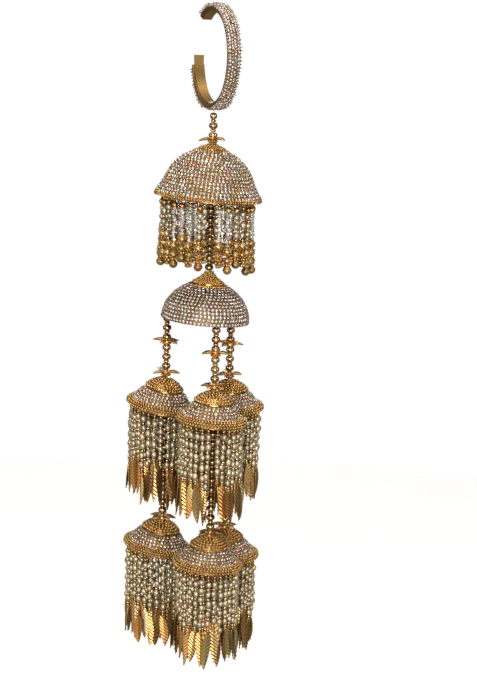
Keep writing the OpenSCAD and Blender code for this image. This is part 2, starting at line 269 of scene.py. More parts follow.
# Waxed cotton thread, twisted: brown gold and dull, hardly seen between the pearls
def waxedThread():
    material, tree = blank("waxedThread")
    where = put(tree, "ShaderNodeTexCoord").outputs["Object"]
    twist = put(tree, "ShaderNodeTexWave", {"Vector": where, "Scale": 1 / (1.2 * mm), "Distortion": 1.5},
                bands_direction="DIAGONAL")
    tone = put(tree, "ShaderNodeValToRGB", {"Fac": twist.outputs["Fac"]},
               stops=[(0.2, "#5E4420"), (0.8, "#96743E")])
    return shaded(material, {"Base Color": tone.outputs["Color"], "Roughness": 0.65})


gold = plating("platedBrassPolished", polished)
# the bells' plating, darkened as painted shade between their stones
shadedCupBrass = plating("platedBrassShadedUnderStones", shadedUnderStones)
shadedCupSilver = plating("palePlatingShadedUnderStones", shadedUnderWhiteStones)
brushedGold = brushedPlating()
paleMetal = brightBead()
gilt = platedPart("lacqueredGiltBead", giltTints, 0.29)
leafGold = platedPart("platedBrassStamped", leafTints, 0.44)
# the leaves' down-turned vein sides: a darker copy of the leaf finish, as painted shade
leafShadeSide = platedPart("platedBrassShadeSide", shadeSideTints, 0.45)
# a paler copy of the gilt for the second cap, as painted light where the large fringe shades it
paintedLightCapGilt = platedPart("platedBrassGrainsPaintedLight", paintedLightCapTints, 0.38)
stringMetal = platedPart("platedStringBead", stringTints, 0.25)
runMetal = platedPart("platedRunBead", runTints, 0.2)
clawMetal = platedPart("silveredClaw", clawTints, 0.28)
stoneGlass = foilStone("foilBackedGlass", stoneTints, 0.25)
ringGlass = foilStone("foilBackedWhiteGlass", whiteTints, 0.32)
crystalGlass = foilStone("silverLinedCrystal", crystalTints, 0.2)
pearl = dippedPearl()
thread = waxedThread()
print("finishes made")


# A form is points in millimetres with its faces; makePiece joins copies of forms into one mesh.
def formOf(points, faces):
    return {"points": np.array(points, float), "loops": np.concatenate([np.array(f) for f in faces]),
            "sizes": np.array([len(f) for f in faces])}


def circle(radius, height, around, turn=0.0):
    angles = [turn + 2 * math.pi * i / around for i in range(around)]
    return [(radius * math.cos(t), radius * math.sin(t), height) for t in angles]


# Turns (radius, height) pairs, from the top down, into one closed skin
def turned(profile, around):
    points, rings, faces = [], [], []
    for radius, height in profile:
        ring = [(0, 0, height)] if radius < 1e-6 else circle(radius, height, around)
        rings.append(range(len(points), len(points) + len(ring)))
        points += ring
    for upper, lower in zip(rings, rings[1:]):
        for i in range(around):
            j = (i + 1) % around
            if len(upper) == 1:
                faces.append((upper[0], lower[i], lower[j]))
            elif len(lower) == 1:
                faces.append((upper[i], lower[0], upper[j]))
            else:
                faces.append((upper[i], lower[i], lower[j], upper[j]))
    if len(rings[0]) > 1:
        faces.append(tuple(rings[0]))
    if len(rings[-1]) > 1:
        faces.append(tuple(reversed(rings[-1])))
    return formOf(points, faces)


def ballForm(radius, around, down, stretch=1.0):
    steps = [math.pi * i / down for i in range(down + 1)]
    return turned([(radius * math.sin(t), stretch * radius * math.cos(t)) for t in steps], around)


# A cut stone: a small table, two rings of facets down to the girdle, and a pointed foil back
def cutStone(radius):
    points = circle(0.34 * radius, 0.52 * radius, 8) + circle(0.74 * radius, 0.36 * radius, 8, math.pi / 8)
    points += circle(radius, 0, 8) + [(0, 0, -0.5 * radius)]
    faces = [tuple(range(8))]
    for i in range(8):
        j = (i + 1) % 8
        faces += [(i, 8 + i, j), (j, 8 + i, 8 + j), (8 + i, 16 + i, 16 + j), (8 + i, 16 + j, 8 + j),
                  (16 + j, 16 + i, 24)]
    return formOf(points, faces)


# A loop of wire, standing up, with its middle at the origin
def wireLoop(radius, wire, around, sides):
    points, faces = [], []
    for i in range(around):
        t = 2 * math.pi * i / around
        for j in range(sides):
            u = 2 * math.pi * j / sides
            reach = radius + wire * math.cos(u)
            points.append((reach * math.cos(t), wire * math.sin(u), reach * math.sin(t)))
            a, b = i * sides, (i + 1) % around * sides
            k = (j + 1) % sides
            faces.append((a + j, a + k, b + k, b + j))
    return formOf(points, faces)


# A closed thin plate from two grids of points, rows by columns
def plate(front, back):
    rows, columns = len(front), len(front[0])
    at = lambda side, i, j: side * rows * columns + i * columns + j
    points = [p for grid in (front, back) for row in grid for p in row]
    faces = []
    for i in range(rows - 1):
        for j in range(columns - 1):
            faces.append((at(0, i, j), at(0, i + 1, j), at(0, i + 1, j + 1), at(0, i, j + 1)))
            faces.append((at(1, i, j), at(1, i, j + 1), at(1, i + 1, j + 1), at(1, i + 1, j)))
        faces.append((at(0, i, 0), at(1, i, 0), at(1, i + 1, 0), at(0, i + 1, 0)))
        last = columns - 1
        faces.append((at(0, i, last), at(0, i + 1, last), at(1, i + 1, last), at(1, i, last)))
    for j in range(columns - 1):
        low = rows - 1
        faces.append((at(0, 0, j), at(0, 0, j + 1), at(1, 0, j + 1), at(1, 0, j)))
        faces.append((at(0, low, j), at(1, low, j), at(1, low, j + 1), at(0, low, j + 1)))
    return formOf(points, faces)


def unit(vectors):
    return vectors / np.linalg.norm(vectors, axis=1)[:, None]


# Copies of a form, each standing on a point with its own +Z along the normal there
def standOn(points, normals, spin=0.0, size=1.0):
    normals = unit(normals)
    helper = np.where(np.abs(normals[:, 2:3]) < 0.9, [[0, 0, 1.0]], [[1.0, 0, 0]])
    first = unit(np.cross(helper, normals))
    second = np.cross(normals, first)
    spin = np.broadcast_to(spin, len(points))[:, None]
    size = np.broadcast_to(size, len(points))[:, None]
    spots = np.zeros((len(points), 4, 4))
    spots[:, :3, 0] = (first * np.cos(spin) + second * np.sin(spin)) * size
    spots[:, :3, 1] = (second * np.cos(spin) - first * np.sin(spin)) * size
    spots[:, :3, 2] = normals * size
    spots[:, :3, 3] = points
    spots[:, 3, 3] = 1
    return spots


# One copy turned about Z, then tipped about its own X and Y
def hang(point, turn=0.0, tip=0.0, side=0.0, size=(1, 1, 1)):
    matrix = (Matrix.Translation(point) @ Matrix.Rotation(turn, 4, "Z") @ Matrix.Rotation(tip, 4, "X")
              @ Matrix.Rotation(side, 4, "Y") @ Matrix.Diagonal((*size, 1)))
    return np.array(matrix)


# Joins copies of forms into one mesh. A batch is a form, the places of its copies, its material (or one for
# each face), and whether it is smooth.
def makePiece(name, batches, body, slot, *replaced):
    points, loops, sizes, places, soft = [], [], [], [], []
    count, materials = 0, []
    for form, spots, finish, smooth in batches:
        picks = finish if isinstance(finish, list) else [finish] * len(form["sizes"])
        materials += [pick for pick in dict.fromkeys(picks) if pick not in materials]
        spots = np.asarray(spots, float).reshape(-1, 4, 4)
        moved = np.einsum("kij,nj->kni", spots[:, :3, :3], form["points"]) + spots[:, None, :3, 3]
        starts = count + len(form["points"]) * np.arange(len(spots))
        points.append(moved.reshape(-1, 3))
        loops.append((form["loops"][None, :] + starts[:, None]).ravel())
        sizes.append(np.tile(form["sizes"], len(spots)))
        places.append(np.tile([materials.index(pick) for pick in picks], len(spots)))
        soft.append(np.full(len(sizes[-1]), smooth))
        count += len(points[-1])
    loops, sizes = np.concatenate(loops), np.concatenate(sizes)
    mesh = bpy.data.meshes.new(name)
    mesh.vertices.add(count)
    mesh.vertices.foreach_set("co", (np.concatenate(points) * mm).ravel())
    mesh.loops.add(len(loops))
    mesh.loops.foreach_set("vertex_index", loops)
    mesh.polygons.add(len(sizes))
    mesh.polygons.foreach_set("loop_start", np.cumsum(sizes) - sizes)
    for material in materials:
        mesh.materials.append(material)
    mesh.polygons.foreach_set("material_index", np.concatenate(places))
    mesh.polygons.foreach_set("use_smooth", np.concatenate(soft))
    mesh.update(calc_edges=True)
    mesh.validate()
    piece = bpy.data.objects.new(name, mesh)
    bpy.context.scene.collection.objects.link(piece)
    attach(piece, body)
    if replaced:
        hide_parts(*replaced)
    print(name, "triangles:", int((sizes - 2).sum()))
    return piece


def carried(place, points, normals):
    return points @ place[:3, :3].T + place[:3, 3], normals @ place[:3, :3].T


# The outside of a bell as (radius, height) from the top of its dome down, then its flare
def bellOutline(bell, flare):
    a, b = bell["a"], bell["b"]
    top, low = math.acos(hung["bore"] / a), math.radians(bell["low"])
    steps = [top + (low - top) * i / 40 for i in range(41)]
    dome = [(a * math.cos(t), -b * (1 - math.sin(t))) for t in steps]
    edge = dome[-1]
    return np.array(dome + [(edge[0] + r, edge[1] + z) for r, z in flare])


def distances(outline):
    return np.concatenate([[0], np.cumsum(np.hypot(*np.diff(outline, axis=0).T))])


# Points and outward normals in rows round an outline, between two distances along it. In whole groups to a
# row, points of neighbouring rows stand in columns, and by ones they stand in the gaps. Loose rows start
# anywhere.
def rowsOn(outline, first, last, rowPitch, pitch, shift=0.0, lag=0.0, group=1, loose=0.0):
    steps = distances(outline)
    at = lambda s: np.array([np.interp(s, steps, values) for values in outline.T])
    rows = max(1, round((last - first) / rowPitch))
    points, normals = [], []
    for row in range(rows + 1):
        s = first + (last - first) * row / rows + lag
        (r, z), (dr, dz) = at(s), at(s + 0.5) - at(s - 0.5)
        count = max(5, group * round(2 * math.pi * r / pitch / group))
        stagger = (0.5 * (row % 2) if group == 1 else 0) + dice.uniform(0, loose)
        angles = 2 * math.pi * (np.arange(count) + stagger + shift) / count
        points.append(np.stack([r * np.cos(angles), r * np.sin(angles), np.full(count, z)], 1))
        normals.append(np.stack([-dz * np.cos(angles), -dz * np.sin(angles), np.full(count, dr)], 1))
    return np.concatenate(points), unit(np.concatenate(normals))


def outlineLength(outline, radius=None):
    steps = distances(outline)
    return steps[-1] if radius is None else float(np.interp(radius, outline[:, 0], steps))


# Every stone, grain and claw is turned as it comes, and none is quite the size or in the place of the next
anyTurn = (0, 6.3)
uneven = {"stonePlace": 0.08, "stoneSize": 0.04, "grainPlace": 0.05, "grainSize": 0.05}


# Stones in columns on a bell, each tipped a little in its cup, with grains in the gaps between them
def stoneRows(place, outline, first, last, setting):
    rows = (setting["rowPitch"], setting["pitch"])
    points, normals = carried(place, *rowsOn(outline, first, last, *rows, group=setting["group"]))
    tipped = normals + dice.normal(0, setting["tilt"], normals.shape)
    seats = points + normals * setting["lift"] + dice.normal(0, uneven["stonePlace"], points.shape)
    stones = standOn(seats, tipped, dice.uniform(*anyTurn, len(points)),
                     dice.normal(1, uneven["stoneSize"], len(points)))
    gaps, out = rowsOn(outline, first, last, *rows, 0.5, 0.5 * setting["rowPitch"], setting["group"])
    gaps, out = carried(place, gaps, out)
    grains = standOn(gaps + out * setting["grainLift"], out, dice.uniform(*anyTurn, len(gaps)))
    return [(cutStone(setting["stone"]), stones, setting["glass"], False),
            (ballForm(setting["grain"], 5, 3), grains, setting["gap"], True)]


# Rows of gold grains soldered side by side, as on caps and rims, sunk by a part of their own width
def grainRows(place, outline, first, last, rows):
    radius, sunk = rows["radius"], rows.get("sunk", 0.3)
    points, normals = carried(place, *rowsOn(outline, first, last, rows.get("rowPitch", 1.0), rows["pitch"],
                                             loose=1.0))
    points = points + dice.normal(0, uneven["grainPlace"], points.shape)
    spots = standOn(points + normals * radius * (1 - 2 * sunk), normals, dice.uniform(*anyTurn, len(points)),
                    dice.normal(1, uneven["grainSize"], len(points)))
    return (ballForm(radius, 7 if radius > 0.85 else 6, 4), spots, rows.get("finish", gilt), True)


# Stones and grains of a bell and its cap. On a bell, rows begin and end where it has a radius or, below zero,
# at a distance from its end. On a cap they do so at distances along its outline.
def dressBell(stonesName, capName, place, dress):
    outline, length = dress["outline"], outlineLength(dress["outline"])
    spots = lambda span: [outlineLength(outline, at) if at > 0 else length + at for at in span]
    batches = stoneRows(place, outline, *spots(dress["stones"]), dress)
    batches += [grainRows(place, outline, *spots(rows["span"]), rows) for rows in dress["grains"]]
    makePiece(stonesName, batches, "drop", "bright_beads")
    capRows = [grainRows(place, dress["cap"], *rows["span"], rows) for rows in dress["capGrains"]]
    makePiece(capName, capRows, "drop", "plated_brass")


# Large bell: stones from under the cap down to the rim, gilt grains round the cap's hem and along the rim
largeDress = {
    "outline": bellOutline(largeBell, [(1.5, -3.3), (3.8, -6.9), (5.4, -9.5), (5.83, -10.34),
                                       (5.83, -11.34)]),
    "cap": np.array([(1.9, 5.1), (1.9, 3), (3, 2), (5.5, 1), (8, 0), (8.4, -0.3)]),
    "glass": stoneGlass, "gap": paleMetal, "stone": 1.17, "pitch": 2.62, "rowPitch": 2.42, "lift": 0.3,
    "tilt": 0.1, "grain": 0.4, "grainLift": 0.35, "group": 6, "stones": (12.0, -2.9),
    "grains": [{"span": (9.3, 10.5), "rowPitch": 1.3, "pitch": 1.5, "radius": 0.75},
               {"span": (-1.5, -0.4), "rowPitch": 1.1, "pitch": 1.8, "radius": 0.78, "sunk": 0.35}],
    "capGrains": [{"span": (0.6, 0.6), "pitch": 1.5, "radius": 0.5},
                  {"span": (2.6, 9.4), "rowPitch": 1.35, "pitch": 1.45, "radius": 0.66, "sunk": 0.4}]}
dressBell("large_bell_stones", "large_cap_grains", largePlace, largeDress)

# Second bell: white stones right down to its edge, with silvered grains between them
secondDress = {
    **largeDress, "outline": bellOutline(secondBell, [(0.07, -1.76)]),
    "cap": np.array([(2.4, 7), (3, 5.4), (5.2, 2.8), (8.2, 0.7), (10.4, -0.6)]),
    "glass": ringGlass, "gap": clawMetal, "group": 1, "stones": (13.4, -1.2),
    # these grains and the cap's take the paler tints: painted light under the large fringe
    "grains": [{"span": (11.4, 12.0), "rowPitch": 1.3, "pitch": 1.6, "radius": 0.8, "finish": paintedLightCapGilt}],
    "capGrains": [{"span": (0.5, 0.5), "pitch": 1.6, "radius": 0.55},
                  {"span": (2.2, 10.8), "rowPitch": 1.5, "pitch": 1.6, "radius": 0.72, "sunk": 0.42,
                   "finish": paintedLightCapGilt}]}
dressBell("second_bell_stones", "second_cap_grains", secondPlace, secondDress)

# Small bells: three or four rows of stones between a wide grained cap and a grained gold flange
smallDress = {
    **largeDress,
    "outline": bellOutline(smallBell, [(0.7, -1.2), (2.7, -2.8), (5.1, -4.2), (5.4, -4.8), (5.4, -6.78)]),
    "cap": np.array([(2, 5.5), (2, 4.6), (5, 3.4), (8.8, 1.3), (11.2, -0.8), (12.2, -1.8)]),
    "stone": 1.12, "pitch": 2.55, "rowPitch": 2.3, "lift": 0.22, "tilt": 0.11, "grain": 0.38,
    "grainLift": 0.28, "stones": (12.9, -6.6),
    "grains": [{"span": (-5.3, -0.7), "rowPitch": 1.5, "pitch": 2.05, "radius": 0.92, "sunk": 0.35}],
    "capGrains": [{"span": (0.5, 0.5), "pitch": 1.5, "radius": 0.5},
                  {"span": (2.6, 12.6), "rowPitch": 2.05, "pitch": 2.2, "radius": 1.02, "sunk": 0.42}]}
for letter, string in strings.items():
    for level in ("mid", "low"):
        place = leaning(*string["at"], string[level], string["lean"])
        dressBell(f"{level}_bell_stones_{letter}", f"{level}_cap_grains_{letter}", place, smallDress)
print("bells dressed")

# Ring: four rows of stones in a silvered strip on the setting's face, a smaller row on each edge, and claws
# between them. Where the drop swings under the ring, claws are left out and the stones lie low.
ringDress = {"face": 33.0, "start": 146.5, "end": 438.5, "pitch": 2.12, "stone": 0.94,
             "rows": (-2.85, -0.95, 0.95, 2.85), "tilt": 0.2, "slip": 0.35, "lift": (0.15, 0.95), "slot": 3.6,
             "quiet": 9, "edgeStone": 0.85, "edge": 3.85, "edgeTilt": 0.1,
             "strip": {"width": 7.6, "over": 0.16, "sunk": 0.2, "inset": 0.4, "steps": 100}}
claw = {"rows": (-4.0, -1.9, 0, 1.9, 4.0), "radius": 0.42, "length": 1.7, "foot": 0.6, "bend": 0.16,
        "size": (0.75, 1.15)}


def ringPoint(psi, radius, x):
    psi = np.radians(psi)
    return np.stack([np.full(psi.shape, x), radius * np.sin(psi), -ringInside - radius * np.cos(psi)], 1)


def ringNormal(psi, sideways):
    psi = np.radians(psi)
    return unit(np.stack([np.full(psi.shape, sideways), np.sin(psi), -np.cos(psi)], 1))


# Which angles lie within a distance of the drop's place, under the ring
def underneath(psi, distance):
    psi = np.radians(psi)
    return (np.cos(psi) > 0) & (np.abs(ringDress["face"] * np.sin(psi)) < distance)


# The silvered strip that the stones are set in: four corners all along it, and a wall at each end
def ringStrip():
    d, s = ringDress, ringDress["strip"]
    steps, half = s["steps"], s["width"] / 2
    turns = np.linspace(d["start"] + s["inset"], d["end"] - s["inset"], steps)
    inner, outer = d["face"] - s["sunk"], d["face"] + s["over"]
    section = ((inner, -half), (outer, -half), (outer, half), (inner, half))
    corners = [ringPoint(turns, radius, x) for radius, x in section]
    walls = [(steps * a + i, steps * a + i + 1, steps * b + i + 1, steps * b + i)
             for a, b in ((0, 1), (1, 2), (2, 3), (3, 0)) for i in range(steps - 1)]
    ends = [(0, 3 * steps, 2 * steps, steps), (steps - 1, 2 * steps - 1, 3 * steps - 1, 4 * steps - 1)]
    return formOf(np.concatenate(corners), walls + ends)


def dressRing():
    d = ringDress
    count = round(math.radians(d["end"] - d["start"]) * d["face"] / d["pitch"])
    step = (d["end"] - d["start"]) / count
    batches = [(ringStrip(), [np.eye(4)], clawMetal, False)]
    for row, x in enumerate(d["rows"]):
        psi = d["start"] + step * (np.arange(count) + 0.3 + 0.45 * (row % 2))
        psi = psi[~underneath(psi, d["slot"])] if abs(x) < 1 else psi
        psi = psi + dice.normal(0, d["slip"], len(psi))
        lift = np.where(underneath(psi, d["quiet"]), d["lift"][0], dice.uniform(*d["lift"], len(psi)))
        points, out = ringPoint(psi, d["face"], x), ringNormal(psi, 0.05 * x)
        stones = standOn(points + out * lift[:, None], out + dice.normal(0, d["tilt"], out.shape),
                         dice.uniform(*anyTurn, len(psi)))
        batches.append((cutStone(d["stone"]), stones, ringGlass, False))
    for side in (-1, 1):
        psi = d["start"] + step * (np.arange(count) + 0.25)
        points, out = ringPoint(psi, d["face"] - 0.45, side * d["edge"]), ringNormal(psi, side * 1.1)
        stones = standOn(points + out * d["lift"][0], out + dice.normal(0, d["edgeTilt"], out.shape),
                         dice.uniform(*anyTurn, len(psi)))
        batches.append((cutStone(d["edgeStone"]), stones, ringGlass, False))
    # claws, a little bent and of uneven height, each on a foot that fills the corner between four stones
    prong = turned([(0, claw["length"]), (0.8 * claw["radius"], 0.84 * claw["length"]), (claw["radius"], 0.6),
                    (claw["foot"], 0.2)], 5)
    for row, x in enumerate(claw["rows"]):
        psi = d["start"] + step * (np.arange(count) + 0.12 + 0.5 * (row % 2))
        psi = psi[~underneath(psi, d["quiet"])]
        points, out = ringPoint(psi, d["face"] - 0.1, x), ringNormal(psi, 0.11 * x)
        prongs = standOn(points, out + dice.normal(0, claw["bend"], out.shape), 0,
                         dice.uniform(*claw["size"], len(psi)))
        batches.append((prong, prongs, clawMetal, True))
    # one claw was never pressed down: it stands out on the near side
    tall = turned([(0, 3.4), (0.35, 2.4), (0.8, 0.4), (0.8, -0.6)], 8)
    psi = np.array([261.0])
    batches.append((tall, standOn(ringPoint(psi, d["face"], 0.6), ringNormal(psi, 0.1)), gold, True))
    makePiece("ring_stones", batches, "ring", "bright_beads")


dressRing()
print("ring dressed")

# Flowers: five pointed leaves of sheet that droop, cupped and curled up a little at the tip, round a solid
# hub with a ring of grains above and below
flower = {"length": 8.6, "width": 5.0, "root": 0.7, "sheet": 0.45, "slope": -7.0, "curl": 0.6, "cup": 1.6,
          "rib": 0.32, "petals": 5, "steps": 10, "grain": 0.55, "hub": 2.95, "grains": 12,
          "grainHeights": (0.7, -1.7)}
hubOutline = [(1.9, 1.35), (2.6, 1.25), (2.9, 0.7), (2.75, -0.2), (2.45, -0.55), (2.75, -0.95), (2.85, -1.9),
              (2.4, -2.7), (1.7, -2.9)]


def petalForm():
    f = flower
    front, back = [], []
    for i in range(f["steps"] + 1):
        t = i / f["steps"]
        half = max(0.12, 0.5 * f["width"] * math.sin(math.pi * min(1, 0.10 + 0.90 * t)) ** 0.75)
        base = math.tan(math.radians(f["slope"])) * f["length"] * t + f["curl"] * t ** 3
        row = []
        for c in (-1, -0.55, 0, 0.55, 1):
            lift = f["cup"] * c * c * half / (0.5 * f["width"]) + (f["rib"] if c == 0 else 0)
            row.append((f["root"] + f["length"] * t, c * half, base + lift))
        front.append(row)
        back.append([(x, y, z - f["sheet"]) for x, y, z in row])
    return plate(front, back)


def makeFlower(name, x, y, z, turn):
    f = flower
    petals = [hang((x, y, z - 0.15), math.radians(turn + 360 / f["petals"] * i + dice.normal(0, 2)),
                   dice.normal(0, 0.06), dice.normal(0, 0.08)) for i in range(f["petals"])]
    around = (np.arange(2 * f["grains"]) + 0.5) * 2 * math.pi / f["grains"]
    level = z + np.repeat(f["grainHeights"], f["grains"])
    grains = np.stack([x + f["hub"] * np.cos(around), y + f["hub"] * np.sin(around), level], 1)
    up = np.tile([[0, 0, 1.0]], (len(grains), 1))
    makePiece(name + "_petals", [(petalForm(), petals, leafGold, True),
                                 (turned(hubOutline, 16), [hang((x, y, z))], gilt, True),
                                 (ballForm(f["grain"], 7, 4), standOn(grains, up), gilt, True)],
              "drop", "plated_brass", name)


makeFlower("flower_top", 0, 0, topFlower, 20)
for letter, string in strings.items():
    for n, (z, turn) in enumerate(zip(string["flowers"], string["turns"]), 1):
        makeFlower(f"flower_{letter}{n}", *string["at"], z, turn)
print("flowers made")

# Strings of beads, big and small by turns from the top down. A string is where its beads begin or end, how
# many there are and whether a big one comes first. They are fuller than the solids'.
def beadPlaces(x, y, count, bigFirst, top=None, end=None):
    b = beadSizes
    z = top if end is None else end + runHeight(count, bigFirst) + gap
    big, small = [], []
    for i in range(count):
        spots, height = (big, b["big"][1]) if (i % 2 == 0) == bigFirst else (small, b["small"][1])
        spots.append(hang((x, y, z - 0.5 * gap - 0.5 * height), dice.uniform(0, 6), dice.normal(0, 0.05)))
        z -= height + gap
    return big, small


# A ball cut flat at both ends, where its hole is
def beadForm(radius, tall, around, down, cut=34):
    steps = [math.radians(cut + (180 - 2 * cut) * i / down) for i in range(down + 1)]
    up = 0.5 * tall / math.cos(steps[0])
    return turned([(radius * math.sin(t), up * math.cos(t)) for t in steps], around)


def makeBeads(name, runs, replaced, slim=0):
    b = beadSizes
    big, small = [sum(part, []) for part in zip(*runs)]
    batches = [(beadForm(b["big"][0] * b["fuller"], b["big"][1], 14, 8), big[slim:], runMetal, True),
               (beadForm(b["small"][0] * b["smallFuller"], b["small"][1], 12, 6), small, runMetal, True)]
    if slim:
        batches.insert(0, (beadForm(*b["big"], 14, 8), big[:slim], runMetal, True))
    makePiece(name, batches, "drop", "bright_beads", replaced)


# the first bead under the ring stays slim, clear of the ring's stones when the drop swings
makeBeads("stem_top_run", [beadPlaces(0, 0, beadCounts["stemTop"], True, top=stemTop)], "stem_beads_top",
          slim=1)
makeBeads("stem_low_run", [beadPlaces(0, 0, beadCounts["stemLow"], True, top=stemLow)], "stem_beads_low")
for letter, string in strings.items():
    (x, y), (first, second, third) = string["at"], string["flowers"]
    makeBeads(f"short_run_{letter}", [
        beadPlaces(x, y, beadCounts["shortTop"], True, end=first),
        beadPlaces(x, y, beadCounts["shortLow"], False, top=first - flowerDepth),
        beadPlaces(x, y, 1, False, top=second - flowerDepth)], f"short_beads_{letter}")
    makeBeads(f"long_run_{letter}", [beadPlaces(x, y, string["long"], False, end=third)],
              f"long_beads_{letter}")
print("beads strung")


# How much one string of a fringe differs from the next, as in the solids
def vary(i, seed):
    return math.sin(math.radians(137 * i + 61 * seed))


# Angles of a row of strings. They leave an opening (its angle, and half its width) free and share the rest.
def stringAngles(count, radius, shift, opening):
    if opening is None:
        return [2 * math.pi * (i + shift) / count for i in range(count)]
    half = math.asin(opening[1] / radius)
    start, share = math.radians(opening[0]) + half, 2 * math.pi - 2 * half
    return [start + share * i / (count - 1) for i in range(count)]


# The ring of wire that a fringe is tied to, under the rim of its bell
headWire = {"radius": 0.55, "under": 0.8, "around": 72, "sides": 8}


def stringTop(place, t, radius, rim):
    return (place @ np.array([radius * math.cos(t), radius * math.sin(t), -rim - headWire["under"], 1]))[:3]


def headRing(place, radius, rim):
    flat = hang((0, 0, -rim - headWire["under"]), 0, -math.pi / 2)
    ring = wireLoop(radius, headWire["radius"], headWire["around"], headWire["sides"])
    return (ring, [place @ flat], gold, True)


# Leaf drop, stamped on both faces and pointed at both ends. Its veins are 2.4 mm apart and slant down from
# left to right across it, and the side of each vein that turns down gets a darker finish as painted shade.
leaf = {"length": 25.0, "width": 5.8, "vein": 1.2, "slant": 1.1, "relief": 0.19, "rib": 0.2, "sheet": 0.28,
        "bow": 0.9, "cup": 0.13}


def leafForm():
    front, back = [], []
    rows = int(leaf["length"] / leaf["vein"])
    for i in range(rows + 1):
        t = i / rows
        half = max(0.1, 0.5 * leaf["width"] * math.sin(math.pi * t ** 0.8) ** 0.7)
        relief = leaf["relief"] * (1 if i % 2 else -1)
        row = []
        for c in (-1, 0, 1):
            out = relief + leaf["rib"] * (c == 0) - leaf["cup"] * abs(c) * half + leaf["bow"] * t * t
            drop = leaf["length"] * t + leaf["slant"] * c * half * (1 - t * 0.4)
            row.append((c * half, -out, -min(leaf["length"], max(0, drop))))
        front.append(row)
        back.append([(x, y + leaf["sheet"], z) for x, y, z in row])
    return plate(front, back)


# A plate has its faces row by row: in each row the front and back of both halves, then the two edges
# every other row, where the veins turn down, takes the darker finish as painted shade
def leafFinish(form):
    return [leafShadeSide if k // 6 % 2 else leafGold for k in range(len(form["sizes"]))]


# Where a point of one string is, at a depth below its top; strings sway a little and their beads sit unevenly
def stringRun(top):
    sway = dice.normal(0, 0.011, 2)
    return sway, lambda depth, wander=0.0: (top[0] + sway[0] * depth + dice.normal(0, wander),
                                            top[1] + sway[1] * depth + dice.normal(0, wander), top[2] - depth)


# Rice pearls, with a small bead between one and the next. The row behind has them with fewer sides.
pearlSizes = {"radius": 1.8, "tall": 4.35, "pitch": 6.25, "spacer": 1.15, "up": 0.9, "wander": 0.3}
rice = [ballForm(pearlSizes["radius"], around, down, 0.5 * pearlSizes["tall"] / pearlSizes["radius"])
        for around, down in ((10, 7), (8, 6))]
spacer = ballForm(pearlSizes["spacer"], 6, 4, 0.8)


def pearlRun(at, first, last, pearls, spacers):
    pitch, up = pearlSizes["pitch"], pearlSizes["up"]
    count = max(2, round((last - first) / pitch))
    step = (last - first) / count
    for j in range(count):
        size = dice.normal(0.98, 0.07)
        pearls.append(hang(at(first + step * (j + 0.5) - up, pearlSizes["wander"]), dice.uniform(0, 6),
                           dice.normal(0, 0.12), 0, (size, size, size * step / pitch)))
        spacers.append(hang(at(first + step * (j + 1) - up, pearlSizes["wander"] / 2)))


# What ties a string and its leaf: a loop of wire, and a thread 1 mm long that each string stretches
tieLoop = wireLoop(0.85, 0.22, 8, 4)
threadForm = turned([(0.2, 0), (0.2, -1)], 5)
loopDepth = 0.9

# Small fringes: an outer row of pearl strings and a thinner row behind it, with a stamped leaf at the end of
# each string. Lengths follow the 22 locks of the solid.
smallFringe = {"locks": 22, "rim": 15.2, "length": 40, "uneven": 2.5, "bead": 1.05, "beadPitch": 2.1,
               "firstBead": 1.6, "start": (2.6, 5.8), "leafUp": 2, "leafSize": (0.82, 1.0), "aside": 1.0,
               "rows": [{"strings": 30, "radius": 19.8, "shift": 0, "short": 0},
                        {"strings": 29, "radius": 17.7, "shift": 0.5, "short": 2.5}]}


def makeSmallFringe(name, x, y, z, lean, seed, opening, replaced):
    f = smallFringe
    place = leaning(x, y, z, lean)
    pearls, beads, spacers, loops, leaves, threads = [[], []], [], [], [], [], []
    for row, grown in zip(f["rows"], pearls):
        for i, around in enumerate(stringAngles(row["strings"], row["radius"], row["shift"], opening)):
            lock = round(around / (2 * math.pi) * f["locks"]) % f["locks"]
            length = f["length"] + f["uneven"] * vary(lock, seed) - row["short"] * (1 + vary(i, seed + 4))
            leafTop = (length - f["leafUp"] + f["uneven"] * vary(i // 2, seed + 2)
                       + dice.uniform(-f["uneven"], f["uneven"]))
            start = dice.uniform(*f["start"])
            reach = (length - f["leafUp"] + leaf["length"] - leafTop) / leaf["length"]
            sway, at = stringRun(stringTop(place, around, row["radius"], f["rim"]))
            loops.append(hang(at(loopDepth), around + dice.uniform(-0.5, 0.5)))
            beads += [hang(at(depth)) for depth in np.arange(f["firstBead"], start, f["beadPitch"])]
            pearlRun(at, start, leafTop - 1.4, grown, spacers)
            beads.append(hang(at(leafTop - 0.6)))
            loops.append(hang(at(leafTop + loopDepth), around + math.pi / 2 + dice.uniform(-0.4, 0.4)))
            # one leaf in three shows its back, and beside an opening it hangs nearly edge on
            turn = around + math.pi * (0.5 if i % 3 else 1.5)
            turn += 0 if opening is None or 0 < i < row["strings"] - 1 else f["aside"]
            leaves.append(hang(at(leafTop), turn + dice.normal(0, 0.35), dice.normal(0.02, 0.05),
                               dice.normal(0, 0.06), (1, 1, reach * dice.uniform(*f["leafSize"]))))
            threads.append(hang(at(0), 0, -sway[1], sway[0], (1, 1, leafTop)))
    drop = leafForm()
    makePiece(name, [(rice[0], pearls[0], pearl, True), (rice[1], pearls[1], pearl, True),
                     (ballForm(f["bead"], 8, 5), beads, gilt, True), (spacer, spacers, stringMetal, True),
                     (tieLoop, loops, gold, True), (drop, leaves, leafFinish(drop), False),
                     (threadForm, threads, thread, True), headRing(place, f["rows"][0]["radius"], f["rim"])],
              "drop", "pearl_strings", replaced)


for letter, string in strings.items():
    for level, seed in zip(("mid", "low"), string["seeds"]):
        makeSmallFringe(f"{level}_strings_{letter}", *string["at"], string[level], string["lean"], seed,
                        string["opening"] if level == "mid" else None, f"{level}_fringe_{letter}")
print("small fringes made")

